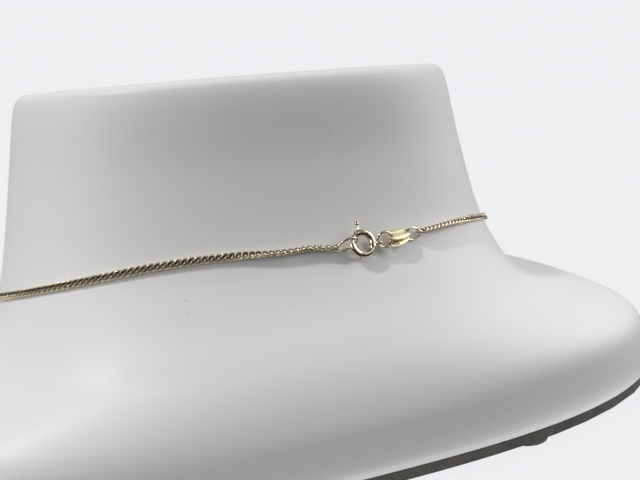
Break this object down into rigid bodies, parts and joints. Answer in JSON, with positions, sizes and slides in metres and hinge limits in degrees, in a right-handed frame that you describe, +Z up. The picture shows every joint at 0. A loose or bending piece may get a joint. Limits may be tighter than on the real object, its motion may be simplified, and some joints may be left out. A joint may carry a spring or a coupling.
{
  "type": "necklace on neck bust",
  "caption": "Fine gold curb chain necklace closed at the nape by a spring ring, with oval tags on jump rings, lying on a low glossy white neck bust.",
  "frame": {"origin": "centre of the bounding box's bottom face, on the surface that the bust stands on", "axes": "+Z up, +Y out of the bust's back, where the clasp lies, and +X along the shoulders, away from the side of the tags"},
  "size_m": [0.207, 0.182, 0.0813],
  "materials": {
    "bust": "smooth moulded white with a soft gloss",
    "board": "taupe felt-covered board",
    "foot": "grey rubber",
    "gold": "polished yellow gold",
    "tag_gold": "pale yellow gold, softly polished"
  },
  "bodies": {
    "necklace_on_bust": {"neck_bust": "bust", "base_board": "board", "foot_1": "foot", "foot_2": "foot", "foot_3": "foot", "foot_4": "foot", "curb_chain": "gold", "clasp_body": "gold", "catch_ring": "gold", "link_ring": "gold", "tag_ring": "gold", "tag_upper": "tag_gold", "tag_lower": "tag_gold"},
    "trigger": {"clasp_bolt": "gold"}
  },
  "joints": [
    {"name": "trigger_turn", "type": "hinge", "parent": "necklace_on_bust", "child": "trigger", "pos_m": [-0.01277, 0.0758, 0.04664], "axis": [-0.1199, 0.9153, 0.3845], "range_deg": [-68, 0], "stiffness_Nm_per_rad": 0.0002, "springref_deg": 11.46}
  ]
}
